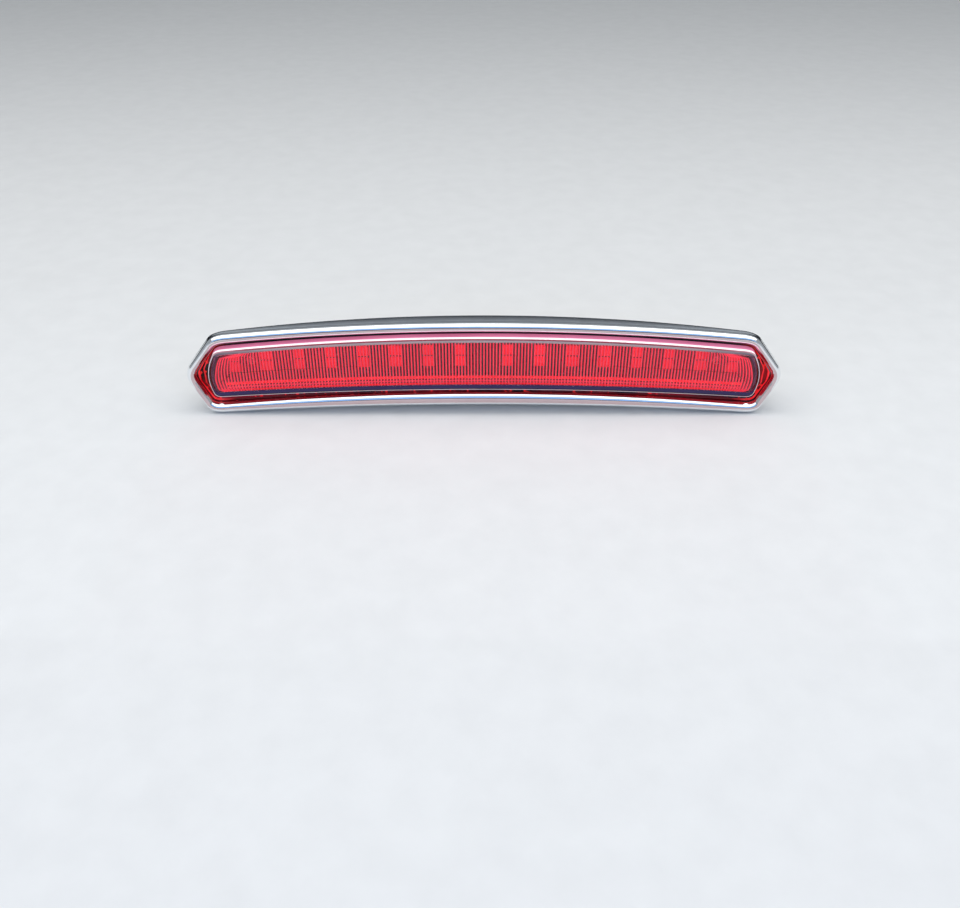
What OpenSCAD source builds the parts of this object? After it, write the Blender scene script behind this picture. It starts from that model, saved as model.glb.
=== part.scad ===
// High-mount third brake lamp for a boot lid.
// Frame: +X across the car, +Z up, +Y out of the back of the lamp into the panel; the light
// leaves toward -Y. The origin is on the face that the foam gasket seats on, midway along it.
// Every "height" below is the distance in front of that seat, so a height h lies at Y = -h.

/* [Chrome bezel] */
// How far the point of the bezel's inner edge reaches past its top corner
tip_reach = 16; // [14:0.2:22]
// Width of the bezel's band along its long edges, seen from the front
band_w = 7.2; // [6:0.1:8.7]
// Width of the bezel's band along its two slanted ends
end_band_w = 5.8; // [4.8:0.1:7]
// Rise of the bezel's crest above its inner lip
crest_rise = 3.8; // [2.5:0.1:5]
// Wall of the bezel, which is a hollow moulding
bezel_wall = 1.5; // [1.2:0.1:1.8]

/* [Lens] */
// Distance from the last column of light sources to where the block's top corner would come to a point
end_margin = 8.5; // [7:0.5:14]
// Height of the front of the lens's flange above the seat
flange_h = 21.0; // [17.5:0.5:26]
// Rise of the lens's block above its flange
block_rise = 6.5; // [5.4:0.1:9]
// Thickness of the flange
flange_t = 2.0; // [1.5:0.1:2.2]
// Thickness of the lens's front face
lens_front_t = 2.5; // [2:0.1:3]
// Thickness of the lens's side wall
lens_wall = 1.5; // [1.2:0.1:1.8]

/* [Inner optic] */
// Distance from one flute to the next
flute_pitch = 1.92; // [1.6:0.02:2.6]
// Depth of a flute
flute_depth = 0.8; // [0.4:0.1:1]
// Thickness of the optic behind its flutes
optic_t = 1.2; // [1:0.1:1.5]

/* [Lamps] */
// Light sources in each row
led_count = 16; // [12:2:16]
// Distance from one light source to the next along a row
led_pitch = 20; // [16.5:0.5:24]
// Distance between the two light sources nearest the middle
led_middle_gap = 29; // [24:0.5:35]
// Side of a square light source
led_side = 7.5; // [5:0.1:9]
// Gap between the two rows
row_gap = 0.12; // [0.1:0.02:2]
// Height of a light source's body off the board
led_body_h = 3.8; // [3.1:0.1:4.6]

/* [Housing and fixing] */
// Thickness of the sealing bead between the housing's rim and the lens's flange
seal_t = 1.0; // [0.8:0.1:1.5]
// Thickness of the housing's walls
housing_wall = 1.6; // [1.4:0.1:2]
// Thickness of the foam gasket
gasket_t = 3.0; // [2:0.1:3.6]
// Distance between the two fixing studs
stud_spacing = 200; // [165:5:240]
// Nominal thread radius of a stud, 2.5 for an M5 thread
thread_r = 2.5; // [2:0.5:3]
// Step from the thread out to a stud's locating shoulder
shoulder_step = 0.5; // [0.3:0.1:0.8]
// How far a stud stands behind the seat
stud_out = 16; // [12:0.5:24]

/* [Hidden] */
$fn = 48;
TINY = 0.01;                      // overshoot of a cutter past the face it leaves
CLEAR = 0.2;                      // gap between a loose part and the pocket it sits in
THREAD_CLEAR = 0.05;              // radial gap between a stud and its nut

// Levels of the stack, all as heights above the seat
back_t = 2.5;                                  // the housing's back wall
back_h = gasket_t + back_t;                    // inside face of that wall
board_t = 1.6;
board_h = 8.9;                                 // back of the circuit board
board_front_h = board_h + board_t;
led_top_h = board_front_h + led_body_h;
tray_floor_t = 1.0;
tray_floor_h = led_top_h - 0.4 - tray_floor_t; // the light sources stand 0.4 proud of the floor
rim_t = 2.0;
rim_h = flange_h - flange_t - seal_t;          // front of the housing's rim
tape_t = 0.5;
lens_h = flange_h + block_rise;                // the lens's front face
lens_inner_h = lens_h - lens_front_t;
optic_front_h = lens_inner_h - CLEAR;
optic_h = optic_front_h - flute_depth - optic_t;

// An outline is half of a six-sided plan shape, mirrored about X = 0:
// [top z, top corner, end point, bottom corner, bottom z, corner rounding, end rounding].
// Its top and bottom edges are parabolas from the middle to the corners.
row_pitch = led_side + row_gap;
row_half = led_middle_gap / 2 + led_pitch * (led_count / 2 - 1); // middle to the last column
block_x = row_half + end_margin;                                  // the block's top corner
block_line = [16.8, [block_x, 7.8], [block_x + 8.2, -8], [block_x + 3.2, -24.2], -18.5, 5, 15];
inner_x = block_x - 0.4;                                          // the bezel's inner top corner
inner_line = [18.9, [inner_x, 10.45], [inner_x + tip_reach, -10.25], [inner_x + 6.4, -31.1], -25.3, 6.1, 5.1];
outer_line = inset(inner_line, -band_w, -end_band_w);

// Rows of light sources hang on a crowned centre line
row_z = -0.9;                     // its height at the middle
row_drop = 4.65;                  // its fall at the last column
function crown(x) = row_z - row_drop * pow(x / row_half, 2);

// Studs, with their heads inside the housing
stud_x = stud_spacing / 2;
stud_z = row_z;
shoulder_r = thread_r + shoulder_step;
knurl_r = shoulder_r + 0.5;
stud_head_r = knurl_r + 2.5;
stud_head_t = 1.5;

EDGE_STEPS = 12;                  // straight pieces in half of the top or bottom edge
ROUND_STEPS = 6;                  // straight pieces in a rounded corner

function unit(v) = v / norm(v);
function edge_normal(a, b) = unit([a.y - b.y, b.x - a.x]);
function parabola(z, corner, x) = [x, z + (corner.y - z) * pow(x / corner.x, 2)];
function slope_normal(z, corner, side) = side * unit([-2 * (corner.y - z) / corner.x, 1]);
function mitre(n1, n2, d1, d2) =
    let (c = n1 * n2) ((d1 - d2 * c) * n1 + (d2 - d1 * c) * n2) / (1 - c * c);
function bend(a, c, b) =
    [for (i = [0:ROUND_STEPS]) let (t = i / ROUND_STEPS)
        pow(1 - t, 2) * a + 2 * t * (1 - t) * c + t * t * b];
function toward(a, b, d) = a + d * unit(b - a);

// The same outline drawn further in: its long edges by d, its slanted ends by e
function inset(o, d, e = undef) =
    let (top_n = slope_normal(o[0], o[1], 1), low_n = slope_normal(o[4], o[3], -1),
         up_n = edge_normal(o[1], o[2]), down_n = edge_normal(o[2], o[3]), w = is_undef(e) ? d : e)
    [o[0] - d, o[1] - mitre(top_n, up_n, d, w), o[2] - mitre(up_n, down_n, w, w),
     o[3] - mitre(down_n, low_n, w, d), o[4] + d, max(o[5] - d * 0.4, 1), max(o[6] - d * 0.4, 1)];

function right_half(o) =
    let (side_r = o[5] * 0.6, room = min(norm(o[1] - o[2]), norm(o[3] - o[2])) - side_r,
         end_r = min(o[6], room - 1))
    concat(
        [for (i = [0:EDGE_STEPS - 1]) parabola(o[0], o[1], (o[1].x - o[5]) * i / EDGE_STEPS)],
        bend(parabola(o[0], o[1], o[1].x - o[5]), o[1], toward(o[1], o[2], side_r)),
        bend(toward(o[2], o[1], end_r), o[2], toward(o[2], o[3], end_r)),
        bend(toward(o[3], o[2], side_r), o[3], parabola(o[4], o[3], o[3].x - o[5])),
        [for (i = [EDGE_STEPS - 1:-1:0]) parabola(o[4], o[3], (o[3].x - o[5]) * i / EDGE_STEPS)]);
function outline(o) =
    let (half = right_half(o), n = len(half))
    concat(half, [for (i = [n - 2:-1:1]) [-half[i].x, half[i].y]]);

module plan(o) polygon(outline(o));
module plan_band(o, w) difference() {
    plan(o);
    plan(inset(o, w));
}
// A flat shape drawn in X and Z, made solid from one height to a greater one
module slab(from_h, to_h) translate([0, -from_h, 0]) rotate([90, 0, 0])
    linear_extrude(to_h - from_h) children();
// A round bar along Y from one height to a greater one
module bar(x, z, r, from_h, to_h) translate([x, -from_h, z]) rotate([90, 0, 0])
    cylinder(r = r, h = to_h - from_h);

// A closed skin through rings of points. Each ring is an array of [x, height, z].
function skin_faces(rings, points, closed) = [
    for (j = [0:rings - (closed ? 1 : 2)], i = [0:points - 1])
        let (k = (j + 1) % rings, n = (i + 1) % points)
        [j * points + i, k * points + i, k * points + n, j * points + n]];
function flat(rings) = [for (r = rings, p = r) [p[0], -p[1], p[2]]];

// ---- bezel -------------------------------------------------------------------------------

// The panel is crowned, so the bezel's outer foot reaches deepest at the middle
foot_end_h = flange_h - 1.4;
foot_reach = 5.3;
function foot_h(x) = foot_end_h - foot_reach * max(0, 1 - pow(x / inner_x, 2));

// The band's section: [share of the way from the inner line to the outer one, height]
lip_h = flange_h + tape_t;
wall_w = bezel_wall / band_w;
crest_section = [[0, 0], [0.05, 0.45], [0.15, 0.76], [0.31, 0.95], [0.5, 1], [0.69, 0.95],
                 [0.86, 0.76], [0.96, 0.4], [1, -0.1]];
hollow_section = [[1 - wall_w, -0.1], [1 - wall_w * 1.3, 0.2], [0.5, 0.38], [wall_w * 1.3, 0.2], [wall_w * 1.15, 0]];
bezel_section = concat(
    [for (p = crest_section) [p.x, lip_h + crest_rise * p.y, false]],
    [[1, 0, true], [1 - wall_w, 0, true]],
    [for (p = hollow_section) [p.x, lip_h + crest_rise * p.y, false]]);

module bezel() color([0.8, 0.82, 0.84]) {
    outer = outline(outer_line);
    inner = outline(inner_line);
    rings = [for (s = bezel_section) [for (i = [0:len(outer) - 1])
        let (p = inner[i] + (outer[i] - inner[i]) * s[0]) [p.x, s[2] ? foot_h(p.x) : s[1], p.y]]];
    polyhedron(flat(rings), skin_faces(len(rings), len(outer), true), convexity = 6);
}

// Double-sided tape under the bezel's lip
module bezel_tape() color([0.15, 0.15, 0.15])
    slab(flange_h, lip_h) plan_band(inset(inner_line, -bezel_wall), bezel_wall - CLEAR);

// ---- lens --------------------------------------------------------------------------------

flange_line = inset(outer_line, bezel_wall + 0.9);

// Rings of the lens's outside, from the flange's edge up to the front face
lens_draft = 0.4;                 // each side of the block leans in this much from foot to face
lens_round = 0.9;                 // rounding where the block's side turns into its face
function lens_ring(o, h) = [for (p = outline(o)) [p.x, h, p.y]];

module lens() color([0.75, 0.02, 0.05, 0.6]) {
    rings = [
        lens_ring(inset(block_line, lens_wall), flange_h - flange_t),
        lens_ring(flange_line, flange_h - flange_t),
        lens_ring(flange_line, flange_h),
        lens_ring(inset(block_line, -lens_draft), flange_h),
        lens_ring(inset(block_line, 0), lens_h - lens_round),
        lens_ring(inset(block_line, lens_round * 0.3), lens_h - lens_round * 0.3),
        lens_ring(inset(block_line, lens_round), lens_h)];
    all_rings = concat([lens_ring(inset(block_line, lens_wall), lens_inner_h)], rings);
    points = len(rings[0]);
    last = (len(all_rings) - 1) * points;
    polyhedron(flat(all_rings), concat(
        [[for (i = [0:points - 1]) i]],
        skin_faces(len(all_rings), points, false),
        [[for (i = [points - 1:-1:0]) last + i]]), convexity = 6);
}

// Bead that seals the lens's flange to the housing's rim
module lens_seal() color([0.1, 0.1, 0.1])
    slab(rim_h, rim_h + seal_t) plan_band(inset(flange_line, 1), 3);

// ---- inner optic and tray ----------------------------------------------------------------

tray_line = inset(block_line, max(lens_wall, housing_wall) + CLEAR);
tray_wall = 0.8;
optic_line = inset(tray_line, tray_wall + CLEAR);

// Saw-tooth section of the flutes, seen along Z
module flutes() {
    half = ceil(block_line[2].x / flute_pitch);
    translate([0, 0, -60]) linear_extrude(120) polygon(concat(
        [[half * flute_pitch, -optic_h], [-half * flute_pitch, -optic_h]],
        [for (i = [-half:half - 1], top = [0, 1])
            [(i + top / 2) * flute_pitch, -(optic_front_h - flute_depth * (1 - top))]]));
}

// Band of the optic between two distances from its crowned centre line
module crowned_band(low, high, half_x) polygon(concat(
    [for (i = [-EDGE_STEPS:EDGE_STEPS]) let (x = half_x * i / EDGE_STEPS) [x, crown(x) + low]],
    [for (i = [EDGE_STEPS:-1:-EDGE_STEPS]) let (x = half_x * i / EDGE_STEPS) [x, crown(x) + high]]));

rib_low = -10.6;                  // the rib across the flutes lies this far from the centre line
rib_w = 1.1;
module flute_plate() color([0.85, 0.05, 0.12, 0.7]) {
    intersection() {
        flutes();
        slab(optic_h - TINY, optic_front_h + TINY) plan(optic_line);
    }
    slab(optic_h + optic_t - TINY, optic_front_h) crowned_band(rib_low, rib_low + rib_w, row_half + 3);
}

// X of the light source in a column counted from the left
function led_x(i) =
    let (half = led_count / 2, k = i <= half ? half - i : i - half - 1, side = i <= half ? -1 : 1)
    side * (led_middle_gap / 2 + led_pitch * k);
function led_z(i, row) = crown(led_x(i)) + (row == 0 ? 1 : -1) * row_pitch / 2;

window_w = led_side + 0.4;
window_h = row_pitch + led_side + 0.4;
post_r = 1.5;
post_room = stud_head_r + post_r + 0.5;        // a post stands clear of a stud's head
post_x = [for (k = [1:2:led_count / 2 - 3]) let (x = led_middle_gap / 2 + led_pitch * (k + 0.5))
    if (abs(x - stud_x) > post_room) x];

module reflector_tray() color([0.1, 0.08, 0.16]) {
    difference() {
        union() {
            slab(tray_floor_h, tray_floor_h + tray_floor_t) plan(tray_line);
            slab(tray_floor_h, optic_front_h) plan_band(tray_line, tray_wall);
            slab(tray_floor_h, optic_h) plan_band(tray_line, tray_wall * 2);
        }
        slab(tray_floor_h - TINY, tray_floor_h + tray_floor_t + TINY) for (i = [1:led_count])
            translate([led_x(i), crown(led_x(i))]) square([window_w, window_h], center = true);
        for (x = [-screw_x, screw_x])
            bar(x, crown(x), screw_head_r + CLEAR, tray_floor_h - TINY, tray_floor_h + tray_floor_t + TINY);
    }
    for (side = [-1, 1], x = post_x)
        bar(side * x, crown(x), post_r, board_front_h, tray_floor_h + TINY);
}

// ---- circuit board -----------------------------------------------------------------------

board_half_x = row_half + 6.5;
board_half_w = row_pitch / 2 + led_side / 2 + 2.44;
screw_x = led_x(led_count) - led_pitch / 2;    // between the last two columns
screw_r = 1.45;
screw_head_r = 2.8;
screw_head_t = 1.9;
blade_x = 2.54;                                // each contact's distance from the middle
blade = [0.8, 2.8];                            // a contact's thickness and width

module circuit_board() color([0.92, 0.93, 0.9]) difference() {
    slab(board_h, board_front_h) crowned_band(-board_half_w, board_half_w, board_half_x);
    for (x = [-screw_x, screw_x])
        bar(x, crown(x), screw_r + CLEAR, board_h - TINY, board_front_h + TINY);
    slab(board_h - TINY, board_front_h + TINY) for (side = [-1, 1])
        translate([side * blade_x, row_z]) square(blade + [0.1, 0.1], center = true);
}

module board_screws() color([0.75, 0.76, 0.78]) for (x = [-screw_x, screw_x]) difference() {
    union() {
        bar(x, crown(x), screw_r, back_h + 0.5, board_front_h + TINY);
        bar(x, crown(x), screw_head_r, board_front_h, board_front_h + screw_head_t);
    }
    for (turn = [0, 90])
        translate([x, -board_front_h - screw_head_t, crown(x)]) rotate([0, turn, 0])
            cube([2.8, 1.6, 0.6], center = true);
}

// One light source: square body with one corner cut, and a low round dome
dome_r = led_side * 0.32;
module led(i, row) color([0.95, 0.1, 0.08]) {
    difference() {
        translate([led_x(i) - led_side / 2, -led_top_h, led_z(i, row) - led_side / 2])
            cube([led_side, led_body_h, led_side]);
        translate([led_x(i) + led_side / 2, -(led_top_h + board_front_h) / 2, led_z(i, row) + led_side / 2])
            rotate([0, 45, 0]) cube([1.4, led_body_h + 1, 1.4], center = true);
    }
    bar(led_x(i), led_z(i, row), dome_r, led_top_h - TINY, led_top_h + 0.7);
}

// One dropping resistor behind every column
resistor = [3.2, 0.6, 1.6];
module resistors() color([0.12, 0.12, 0.13]) for (i = [1:led_count])
    translate([led_x(i), -board_h + resistor.y / 2, crown(led_x(i)) + 7])
        cube(resistor, center = true);

// Reverse-polarity diode and suppression capacitor, both on the back of the board
module diode() color([0.08, 0.08, 0.09])
    translate([26, -board_h + 0.75, row_z]) cube([4.6, 1.5, 2.6], center = true);
module capacitor() color([0.6, 0.62, 0.65])
    translate([-26, -board_h + 0.8, row_z]) cube([3.2, 1.6, 2.5], center = true);

// ---- housing -----------------------------------------------------------------------------

boss_r = 3.2;
rib_t = 1.2;                      // stiffening ribs on the back, inside the gasket's loop
rib_out = 1.8;
rib_half_z = 9;
rib_step = led_pitch * 1.35;
rib_x = [for (k = [1:led_count / 2 - 3]) (k - 0.5) * rib_step];
socket_hole = [15, 10];
vent_x = 60;
vent_r = 3;

// Ribs that stand out of the back wall, kept clear of the fittings that pass through it
module back_ribs() difference() {
    slab(gasket_t - rib_out, gasket_t + TINY) {
        for (low = [-rib_half_z, -rib_t / 2, rib_half_z - rib_t])
            crowned_band(low, low + rib_t, max(rib_x) + rib_t / 2);
        for (side = [-1, 1], x = rib_x)
            translate([side * x, crown(x)]) square([rib_t, rib_half_z * 2], center = true);
    }
    slab(gasket_t - rib_out - TINY, gasket_t + 2 * TINY) {
        translate([0, row_z]) square(socket_size + [5, 7], center = true);
        translate([vent_x, row_z]) circle(vent_r + 2.5);
        for (side = [-1, 1]) translate([side * stud_x, stud_z]) circle(nut_flange_r + 1);
    }
}

module housing() color([0.09, 0.09, 0.1]) {
    back_ribs();
    difference() {
        union() {
            slab(gasket_t, rim_h) plan(block_line);
            slab(rim_h - rim_t, rim_h) plan(inset(flange_line, 0.5));
        }
        slab(back_h, rim_h + TINY) plan(inset(block_line, housing_wall));
        slab(gasket_t - TINY, back_h + TINY) translate([0, row_z]) square(socket_hole, center = true);
        bar(vent_x, row_z, vent_r, gasket_t - TINY, back_h + TINY);
        for (side = [-1, 1]) bar(side * stud_x, stud_z, knurl_r, gasket_t - TINY, back_h + TINY);
    }
    for (x = [-screw_x, screw_x]) difference() {
        bar(x, crown(x), boss_r, back_h - TINY, board_h);
        bar(x, crown(x), screw_r, back_h, board_h + TINY);
    }
    for (side = [-1, 1], x = post_x)
        bar(side * x, crown(x), post_r, back_h - TINY, board_h);
}

// Closed-cell foam loop that the lamp seats on
module foam_gasket() color([0.2, 0.2, 0.21])
    slab(0, gasket_t) plan_band(inset(block_line, 1), 5);

// Breather that lets the lamp's air move without water getting in
module vent_plug() color([0.25, 0.25, 0.27]) {
    bar(vent_x, row_z, vent_r, gasket_t, back_h);
    bar(vent_x, row_z, vent_r + 1.5, gasket_t - 1, gasket_t);
}

// ---- connector ---------------------------------------------------------------------------

socket_out = 12;                  // the socket's mouth stands this far behind the seat
socket_size = [17, 12];
socket_wall = 1.5;
socket_floor_h = gasket_t - 1;
blade_tip = 5;                    // the contacts stop this far behind the seat

module connector_socket() color([0.14, 0.14, 0.15]) difference() {
    union() {
        slab(-socket_out, gasket_t) translate([0, row_z]) square(socket_size, center = true);
        slab(gasket_t - TINY, back_h) translate([0, row_z]) square(socket_hole - [0.1, 0.1], center = true);
        slab(-socket_out + 3, -socket_out + 6) translate([0, row_z + socket_size.y / 2])
            square([4, 2.4], center = true);
    }
    slab(-socket_out - TINY, socket_floor_h) translate([0, row_z])
        square(socket_size - 2 * [socket_wall, socket_wall], center = true);
    slab(socket_floor_h - TINY, back_h + TINY) for (side = [-1, 1])
        translate([side * blade_x, row_z]) square(blade, center = true);
}

// Flat gasket over the joint between the socket's neck and the housing's back wall
module connector_seal() color([0.75, 0.3, 0.1]) slab(back_h, back_h + 1) difference() {
    translate([0, row_z]) square(socket_hole + [4, 4], center = true);
    translate([0, row_z]) square([blade_x * 2 + 3, blade.y + 2], center = true);
}

module terminal(side) color([0.8, 0.72, 0.45])
    slab(-blade_tip, board_front_h + 0.6) translate([side * blade_x, row_z])
        square(blade, center = true);
module terminal_live() terminal(1);
module terminal_ground() terminal(-1);

// ---- fixings -----------------------------------------------------------------------------

shoulder_out = 1;                 // the shoulder enters the panel's hole by this much
module stud(side) color([0.8, 0.74, 0.5]) {
    bar(side * stud_x, stud_z, stud_head_r, back_h, back_h + stud_head_t);
    bar(side * stud_x, stud_z, knurl_r, gasket_t, back_h + TINY);
    bar(side * stud_x, stud_z, shoulder_r, -shoulder_out, gasket_t + TINY);
    bar(side * stud_x, stud_z, thread_r, -stud_out, -shoulder_out + TINY);
}
module stud_left() stud(-1);
module stud_right() stud(1);

nut_seat = 1.2;                   // the nut's face lies here when it clamps a 1.2 mm panel
nut_flange_r = thread_r + 3.4;
nut_flange_t = 1.2;
nut_across = 2 * thread_r + 3;
nut_t = 2 * thread_r;
module nut(side) color([0.8, 0.74, 0.5]) difference() {
    union() {
        bar(side * stud_x, stud_z, nut_flange_r, -nut_seat - nut_flange_t, -nut_seat);
        translate([side * stud_x, nut_seat + nut_t, stud_z]) rotate([90, 0, 0])
            cylinder(r = nut_across / 2 / cos(30), h = nut_t - TINY, $fn = 6);
    }
    bar(side * stud_x, stud_z, thread_r + THREAD_CLEAR, -nut_seat - nut_t - TINY, -nut_seat + TINY);
}
module nut_left() nut(-1);
module nut_right() nut(1);

// ---- list of parts -----------------------------------------------------------------------

function two_digits(i) = str(i < 10 ? "0" : "", i);
ROWS = ["upper", "lower"];
function led_name(row, i) = str("led_", ROWS[row], "_", two_digits(i));

bezel();
bezel_tape();
lens();
lens_seal();
flute_plate();
reflector_tray();
circuit_board();
board_screws();
resistors();
diode();
capacitor();
housing();
foam_gasket();
vent_plug();
connector_socket();
connector_seal();
terminal_live();
terminal_ground();
stud_left();
stud_right();
nut_left();
nut_right();
for (row = [0, 1], i = [1:led_count])
    led(i, row);
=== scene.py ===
"""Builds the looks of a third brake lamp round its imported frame.

Lengths in the sizes below are in metres. A "height" is a distance in front of the seat, so a
height h lies at Y = -h. A "plan" point is a pair (x, z).
"""

import math

import bmesh
import bpy
import numpy as np
from bpy.props import FloatProperty, FloatVectorProperty, IntProperty, PointerProperty
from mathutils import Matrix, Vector


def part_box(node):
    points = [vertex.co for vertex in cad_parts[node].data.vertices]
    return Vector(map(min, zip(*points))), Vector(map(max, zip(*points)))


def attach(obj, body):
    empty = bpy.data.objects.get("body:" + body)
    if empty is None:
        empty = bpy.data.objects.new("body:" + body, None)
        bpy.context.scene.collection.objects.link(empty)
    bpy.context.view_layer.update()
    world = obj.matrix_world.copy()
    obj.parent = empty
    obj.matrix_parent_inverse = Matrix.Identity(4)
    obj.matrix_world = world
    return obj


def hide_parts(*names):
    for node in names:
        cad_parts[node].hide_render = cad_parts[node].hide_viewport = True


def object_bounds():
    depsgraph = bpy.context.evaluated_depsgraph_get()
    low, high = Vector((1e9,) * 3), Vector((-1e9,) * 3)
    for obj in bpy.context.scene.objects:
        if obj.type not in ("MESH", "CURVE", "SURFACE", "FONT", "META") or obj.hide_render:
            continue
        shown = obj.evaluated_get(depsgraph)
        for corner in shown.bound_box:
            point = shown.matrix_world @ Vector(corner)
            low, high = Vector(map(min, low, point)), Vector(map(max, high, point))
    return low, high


bl_info = {
    "name": "Third Brake Lamp",
    "version": (1, 0, 0),
    "blender": (4, 5, 0),
    "location": "View3D > Sidebar > Brake Lamp",
    "description": "Builds a crowned third brake lamp with a fluted optic and a chrome bezel",
    "category": "Object",
}

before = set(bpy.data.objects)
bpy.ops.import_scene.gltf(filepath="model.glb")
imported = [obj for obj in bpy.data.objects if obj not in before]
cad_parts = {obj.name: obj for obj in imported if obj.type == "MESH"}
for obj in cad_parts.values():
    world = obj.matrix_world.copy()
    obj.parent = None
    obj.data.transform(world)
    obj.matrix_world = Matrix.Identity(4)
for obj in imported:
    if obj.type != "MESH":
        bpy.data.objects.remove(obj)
CAD_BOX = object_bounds()

MM = 0.001
LAMP = "lamp"


def near(node):
    """Lowest corner of a CAD node's box."""
    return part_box(node)[0]


def far(node):
    """Highest corner of a CAD node's box."""
    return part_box(node)[1]


def axis_of(node):
    """Middle of a node in plan."""
    low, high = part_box(node)
    return 0.5 * (low.x + high.x), 0.5 * (low.z + high.z)


# Heights of the levels that the frame holds
LENS_FACE = -near("lens").y
LENS_BACK = -far("lens").y
FLANGE = LENS_BACK + 2 * MM
LIP = -near("bezel_tape").y
CREST = -near("bezel").y
OPTIC_FRONT = -near("flute_plate").y
OPTIC_BACK = -far("flute_plate").y
BOARD_FRONT = -near("circuit_board").y
LED_TOP = -near("led_upper_01").y

# A plan outline: top z, top corner, end point, bottom corner, bottom z, corner and end rounding.
# Its long edges are parabolas from the middle to the corners, and it is mirrored about X = 0.
INNER_LINE = (18.9, (162.6, 10.45), (178.6, -10.25), (169.0, -31.1), -25.3, 6.1, 5.1)
BLOCK_LINE = (16.8, (163.0, 7.8), (171.2, -8.0), (166.2, -24.2), -18.5, 5.0, 15.0)
# The chrome band: its width along the long sides and at the ends, and its wall, in mm
BAND_WIDTH = 7.2
END_BAND_WIDTH = 5.8
BEZEL_WALL = 1.5
# Height of the band's outer foot in the middle and at the ends
FOOT_MIDDLE = 14.3 * MM
FOOT_END = 19.6 * MM

# The rows of light sources hang on a crowned centre line
ROW_MIDDLE = -0.9 * MM
ROW_DROP = 4.65 * MM
ROW_HALF = 154.5 * MM


def crown(x):
    """Height of the crowned centre line: a parabola that falls ROW_DROP at ROW_HALF."""
    return ROW_MIDDLE - ROW_DROP * (x / ROW_HALF) ** 2


# ---- sizes and colours a user would change ----


class BezelSizes(bpy.types.PropertyGroup):
    squareness: FloatProperty(
        name="Squareness", description="Power of the band's rounded section", default=2.3, min=2.0, max=4.0
    )
    inner_root: FloatProperty(
        name="Inner root", description="Root of the section's inner half", default=1.1, min=1.0
    )
    step: FloatProperty(
        name="Inner step", description="Upright share at the lip", default=0.3, min=0.0, max=0.8
    )
    flare: FloatProperty(
        name="Flare", description="Spread of the foot over the width", default=0.06, min=0.0, max=0.1
    )
    colour: FloatVectorProperty(
        name="Colour", description="Colour of the chrome", subtype="COLOR", default=(0.86, 0.88, 0.9)
    )


class LensSizes(bpy.types.PropertyGroup):
    edge_radius: FloatProperty(
        name="Edge radius", description="Rounding of the block's edge", default=0.7 * MM, unit="LENGTH"
    )
    border: FloatProperty(
        name="Border", description="Plain rim over the face", default=2.15 * MM, unit="LENGTH"
    )
    low_border: FloatProperty(
        name="Low border", description="Plain rim under the face", default=3.6 * MM, unit="LENGTH"
    )
    end_border: FloatProperty(
        name="End border", description="Plain rim at the ends", default=1.3 * MM, unit="LENGTH"
    )
    colour: FloatVectorProperty(
        name="Colour", description="Tint of the clear red block", subtype="COLOR", default=(1.0, 0.5, 0.55)
    )
    flange_colour: FloatVectorProperty(
        name="Flange colour", description="Deep red", subtype="COLOR", default=(0.33, 0.0, 0.006)
    )


class OpticSizes(bpy.types.PropertyGroup):
    pitch: FloatProperty(
        name="Flute pitch", description="Distance between flutes", default=1.92 * MM, unit="LENGTH"
    )
    ridge: FloatProperty(
        name="Ridge width", description="Width of a flute's bright ridge", default=1.06 * MM, unit="LENGTH"
    )
    top_gap: FloatProperty(
        name="Top gap", description="Plain strip above the flutes", default=1.1 * MM, unit="LENGTH"
    )
    colour: FloatVectorProperty(
        name="Colour", description="Colour of the fluted optic", subtype="COLOR", default=(1.0, 0.1, 0.2)
    )
    # The glow is painted light: an emission standing in for light that the red plastic gives back
    glow: FloatProperty(name="Glow", description="Light that the red plastic gives back", default=0.5)


class SourceSizes(bpy.types.PropertyGroup):
    corner_power: FloatProperty(
        name="Corner power", description="How square the package's plan is", default=14.0, min=2.0
    )
    colour: FloatVectorProperty(
        name="Colour", description="Colour of the red epoxy", subtype="COLOR", default=(1.0, 0.012, 0.04)
    )
    # The glow is painted light: an emission standing in for light that the epoxy gives back
    glow: FloatProperty(name="Glow", description="Light that the epoxy gives back", default=0.8)


class FixingSizes(bpy.types.PropertyGroup):
    thread_pitch: FloatProperty(
        name="Thread pitch", description="Pitch of the fixing thread", default=0.8 * MM, unit="LENGTH"
    )
    thread_depth: FloatProperty(
        name="Thread depth", description="Depth of the fixing thread", default=0.42 * MM, unit="LENGTH"
    )
    serrations: IntProperty(name="Serrations", description="Teeth under a nut's flange", default=24)


# ---- plan outlines ----


def unit(v):
    """The vector at length 1."""
    return v / np.linalg.norm(v)


def mitre(first, second, d1, d2):
    """Shift of a corner when its edges move by d1 and d2 along their normals n1 and n2:
    ((d1 - d2 c) n1 + (d2 - d1 c) n2) / (1 - c^2), where c = n1 . n2."""
    c = first @ second
    return ((d1 - d2 * c) * first + (d2 - d1 * c) * second) / (1 - c * c)


def inset(line, distance, ends=None):
    """The same outline drawn further in, parallel to itself: its long edges by distance and its
    slanted ends by ends, in mm."""
    ends = distance if ends is None else ends
    top, c1, tip, c2, low, corner_r, end_r = line
    c1, tip, c2 = np.array(c1), np.array(tip), np.array(c2)
    top_n = unit(np.array([-2 * (c1[1] - top) / c1[0], 1.0]))
    low_n = -unit(np.array([-2 * (c2[1] - low) / c2[0], 1.0]))
    up_n = unit(np.array([c1[1] - tip[1], tip[0] - c1[0]]))
    down_n = unit(np.array([tip[1] - c2[1], c2[0] - tip[0]]))
    return (
        top - distance,
        c1 - mitre(top_n, up_n, distance, ends),
        tip - mitre(up_n, down_n, ends, ends),
        c2 - mitre(down_n, low_n, ends, distance),
        low + distance,
        max(corner_r - 0.4 * distance, 1.0),
        max(end_r - 0.4 * distance, 1.0),
    )


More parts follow.
